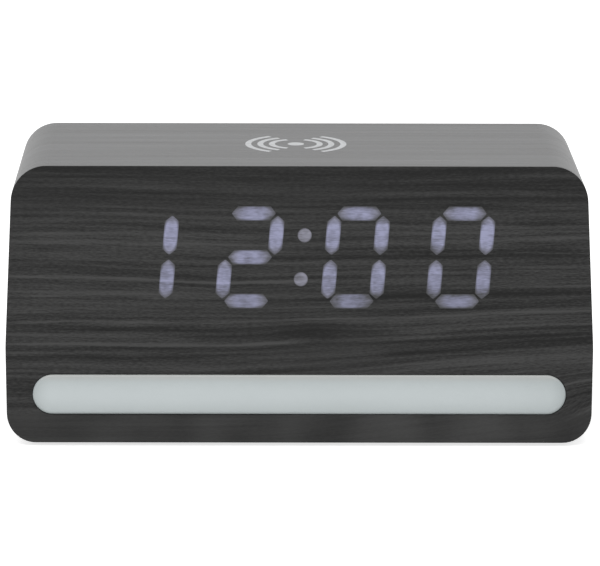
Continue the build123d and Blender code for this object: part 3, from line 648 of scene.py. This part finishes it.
TONGUE_DARK = (0.012, 0.012, 0.012, 1)
TONGUE_PALE = (0.030, 0.030, 0.030, 1)
GILT = (0.62, 0.42, 0.14, 1)
CONTACT_PITCH = 0.5
CONTACT_HALF = 0.13
CONTACTS_REACH = 2.95
CONTACTS_START = 36.5
tongue = Finish("gilt_tongue")
from_socket = tongue.x - middle_of("power_socket_tongue").x
contact = abs(from_socket % CONTACT_PITCH - CONTACT_PITCH / 2) < CONTACT_HALF
contact = contact * (abs(from_socket) < CONTACTS_REACH) * (tongue.y > CONTACTS_START)
tongue_grain = tongue.grain(2.2)
tongue.paint(
    tongue.mix(contact, tongue.mix(tongue_grain, TONGUE_DARK, TONGUE_PALE), GILT),
    0.5 - contact * 0.25 + tongue_grain * 0.1,
    tongue_grain,
    0.01,
)
tongue.link(tongue.shader.inputs["Metallic"], contact)
tongue.dress("power_socket_tongue")

# Backup cell and its contacts.
# A plated steel button cell, turned on its face, lies in its holder under the battery cover on a
# contact strip, with another at its rim.
CELL_DARK = (0.42, 0.42, 0.42, 1)
CELL_BRIGHT = (0.72, 0.72, 0.71, 1)
cell_middle = middle_of("coin_cell")
cell = Finish("cell_steel", Metallic=1.0)
cell_right = cell.x - cell_middle.x
cell_up = cell.z - cell_middle.z
cell_radius = (cell_right * cell_right + cell_up * cell_up).root()
turning = cell.noise(cell_radius * 5.0, cell.y * 0.5, 0.0, 3.0, 0.6)
cell_tone = turning * 0.6 + cell.grain(0.25, 3.0, 0.6) * 0.4
cell.paint(cell.mix(cell_tone, CELL_DARK, CELL_BRIGHT), 0.22 + turning * 0.18, turning, 0.008)
cell.dress("coin_cell", "cell_contacts")

# Rear cover and battery cover.
# Both are moulded in black plastic with a fine spark-eroded grain. The rear cover lies in a rebate of
# the case and takes four screws; the battery cover locks in it with a part turn.
COVER_DARK = (0.013, 0.013, 0.014, 1)
COVER_PALE = (0.031, 0.031, 0.033, 1)
cover = Finish("moulded_black", Specular_IOR_Level=0.35)
spark = cover.grain(3.2, 3.0, 0.65)
cover_clouds = cover.grain(0.05, 2.0, 0.5, 4.0)
scuffs = cover.slope(cover.noise(cover.x * 0.25, cover.y, cover.z * 2.8, 4.0, 0.7), 0.66, 0.78)
cover_tone = cover.slope(spark * 0.55 + cover_clouds * 0.45, 0.30, 0.72) + scuffs * 0.18
cover.paint(
    cover.mix(cover_tone, COVER_DARK, COVER_PALE), 0.50 + spark * 0.22 - scuffs * 0.12, spark, 0.05
)
cover.dress("rear_cover", "battery_cover")

# Keys.
# Four round keys of satin black plastic stand in holes of the rear cover and press on tactile
# switches behind them. Their tops are a little polished by fingers.
KEY_DARK = (0.020, 0.020, 0.022, 1)
KEY_PALE = (0.044, 0.044, 0.047, 1)
keys = Finish("satin_key", Specular_IOR_Level=0.4)
key_grain = keys.grain(2.4, 3.0, 0.6)
key_wear = keys.slope(keys.grain(0.35, 2.0, 0.5, 8.0), 0.35, 0.7)
key_tone = keys.slope(key_grain * 0.6 + key_wear * 0.4, 0.25, 0.75)
keys.paint(
    keys.mix(key_tone, KEY_DARK, KEY_PALE),
    0.46 - key_wear * 0.14 + key_grain * 0.08,
    key_grain,
    0.02,
)
keys.dress("set_button", "up_button", "down_button", "light_button")

# Key marks.
# Each key bears a plain sign in the same pale ink as the top: a ring to set, a triangle up and one
# down, and a small sun for the light bar. The ink is printed on the flat of the key.
RING_RADIUS = 1.7
RING_STROKE = 0.42
TRIANGLE_RADIUS = 1.8
SUN_RADIUS = 0.8
RAYS = 8
RAY_WIDTH = 0.34
RAY_LENGTH = 0.62
RAY_OUT = 1.5
TO_REAR = Matrix(((-1, 0, 0), (0, 0, 1), (0, 1, 0)))
for key, button in [
    ("set_key", "set_button"),
    ("up_key", "up_button"),
    ("down_key", "down_button"),
    ("light_key", "light_button"),
]:
    mark = bmesh.new()
    if key == "set_key":
        ring = bmesh.ops.create_circle(mark, cap_ends=True, segments=48, radius=RING_RADIUS)
        disc = list({face for corner in ring["verts"] for face in corner.link_faces})
        bmesh.ops.inset_region(
            mark, faces=disc, thickness=RING_STROKE, use_boundary=True, use_even_offset=True
        )
        bmesh.ops.delete(mark, geom=disc, context="FACES_ONLY")
    elif key == "light_key":
        bmesh.ops.create_circle(mark, cap_ends=True, segments=32, radius=SUN_RADIUS)
        for number in range(RAYS):
            ray = bmesh.ops.create_grid(mark, x_segments=1, y_segments=1, size=0.5)["verts"]
            bmesh.ops.scale(mark, verts=ray, vec=(RAY_WIDTH, RAY_LENGTH, 1.0))
            bmesh.ops.translate(mark, verts=ray, vec=(0.0, RAY_OUT, 0.0))
            ray_turn = Matrix.Rotation(math.tau * number / RAYS, 3, "Z")
            bmesh.ops.rotate(mark, verts=ray, cent=CENTRE, matrix=ray_turn)
    else:
        corners = bmesh.ops.create_circle(mark, cap_ends=True, segments=3, radius=TRIANGLE_RADIUS)
        half_turns = 0 if key == "up_key" else 1
        pointing = Matrix.Rotation(math.pi * half_turns, 3, "Z")
        bmesh.ops.rotate(mark, verts=corners["verts"], cent=CENTRE, matrix=pointing)
    middle = middle_of(button)
    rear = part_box(button)[1][1] * MM
    print_sign(key + "_mark", mark, TO_REAR, (middle.x, rear - INK, middle.z), key)

# Screws.
# Cross-head screws of blackened steel: four hold the rear cover, and smaller ones the boards, the
# light tray and the coil tray.
SCREW_DARK = (0.055, 0.055, 0.058, 1)
SCREW_BRIGHT = (0.20, 0.20, 0.205, 1)
screws = Finish("blackened_steel", Metallic=1.0)
screw_grain = screws.grain(1.5, 3.0, 0.65)
screws.paint(
    screws.mix(screws.slope(screw_grain, 0.3, 0.75), SCREW_DARK, SCREW_BRIGHT),
    0.30 + screw_grain * 0.22,
    screw_grain,
    0.012,
)
screws.dress("rear_cover_screws", "display_screws", "light_screws")
screws.dress("coil_tray_screws", "charger_board_screws", "main_board_screws")

# Floor.
# A pale matt sheet that the clock stands on. It shows white to the camera and in reflections, and
# keeps a soft shadow.
FLOOR_HALF = 4.0
FLOOR_PALE = (0.82, 0.82, 0.82, 1)
FLOOR_SHOWN = 0.72
FLOOR_MIRRORED = 0.45
floor_mesh = bmesh.new()
bmesh.ops.create_grid(floor_mesh, x_segments=8, y_segments=8, size=FLOOR_HALF)
floor = bpy.data.objects.new("floor", bpy.data.meshes.new("floor"))
floor_mesh.to_mesh(floor.data)
floor_mesh.free()
bpy.context.collection.objects.link(floor)
pale = Finish("pale_floor", Specular_IOR_Level=0.0)
pale.paint(FLOOR_PALE, 0.9)
shown = pale.node("ShaderNodeLightPath", {}, {}, "Is Camera Ray") * FLOOR_SHOWN
shown = shown + pale.node("ShaderNodeLightPath", {}, {}, "Is Glossy Ray") * FLOOR_MIRRORED
pale_glow = pale.node("ShaderNodeEmission", {}, {"Strength": shown})
pale_matt = Reading(pale, pale.shader.outputs[0])
pale_both = pale.node("ShaderNodeAddShader", {}, {0: pale_matt, 1: pale_glow})
pale.link(pale.tree.nodes["Material Output"].inputs["Surface"], pale_both)
floor.data.materials.append(pale.material)


# Studio light and camera.
# Soft light comes from the white room and one wide lamp above and before the clock. The camera looks
# down a little with a long lens, turned a hair to one side.
class Room(Finish):
    """The light of the room, made of the same nodes as a finish."""

    def __init__(self, world):
        world.use_nodes = True
        self.tree = world.node_tree


ROOM_LIGHT = 0.55
WHITE = (1, 1, 1, 1)
room = bpy.data.worlds.new("room")
bpy.context.scene.world = room
walls = Room(room)
seen = walls.node("ShaderNodeLightPath", {}, {}, "Is Camera Ray")
seen = seen.most(walls.node("ShaderNodeLightPath", {}, {}, "Is Glossy Ray"))
seen = seen.most(walls.node("ShaderNodeLightPath", {}, {}, "Is Transmission Ray"))
room_light = walls.node("ShaderNodeBackground", {}, {"Color": WHITE, "Strength": ROOM_LIGHT})
backdrop = walls.node("ShaderNodeBackground", {}, {"Color": WHITE, "Strength": 1.0})
sky = walls.node("ShaderNodeMixShader", {}, {0: seen, 1: room_light, 2: backdrop})
walls.link(walls.tree.nodes["World Output"].inputs["Surface"], sky)

LAMP_PLACE = Vector((-0.25, -1.15, 1.45))
LAMP_TARGET = Vector((0, 0, 0.03))
lamp = bpy.data.objects.new("wide_lamp", bpy.data.lights.new("wide_lamp", "AREA"))
lamp.data.shape = "RECTANGLE"
lamp.data.size = 1.6
lamp.data.size_y = 1.2
lamp.data.energy = 18.0
lamp.location = LAMP_PLACE
lamp.rotation_euler = (LAMP_TARGET - LAMP_PLACE).to_track_quat("-Z", "Y").to_euler()
bpy.context.collection.objects.link(lamp)

CAMERA_TARGET = Vector((0.000344, -0.0140, 0.03695))
CAMERA_DISTANCE = 1.29324
HEIGHT_ANGLE = 0.1795
SIDE_ANGLE = -0.0102
TILT = 0.0033
SENSOR_WIDTH = 36.0
PICTURE_WIDTH = 600.0
FOCAL_PIXELS = 4979.0
away = Vector(
    (
        math.sin(SIDE_ANGLE) * math.cos(HEIGHT_ANGLE),
        -math.cos(SIDE_ANGLE) * math.cos(HEIGHT_ANGLE),
        math.sin(HEIGHT_ANGLE),
    )
)
level = Vector((0, 0, 1)).cross(away).normalized()
upward = away.cross(level)
turned = Matrix(
    (
        level * math.cos(TILT) + upward * math.sin(TILT),
        upward * math.cos(TILT) - level * math.sin(TILT),
        away,
    )
).transposed()
camera = bpy.data.objects.new("camera", bpy.data.cameras.new("camera"))
camera.data.sensor_width = SENSOR_WIDTH
camera.data.lens = FOCAL_PIXELS * SENSOR_WIDTH / PICTURE_WIDTH
camera.data.clip_end = 50.0
camera_place = CAMERA_TARGET + away * CAMERA_DISTANCE
camera.matrix_world = Matrix.Translation(camera_place) @ turned.to_4x4()
bpy.context.collection.objects.link(camera)
bpy.context.scene.camera = camera
bpy.context.scene.view_settings.view_transform = "Standard"
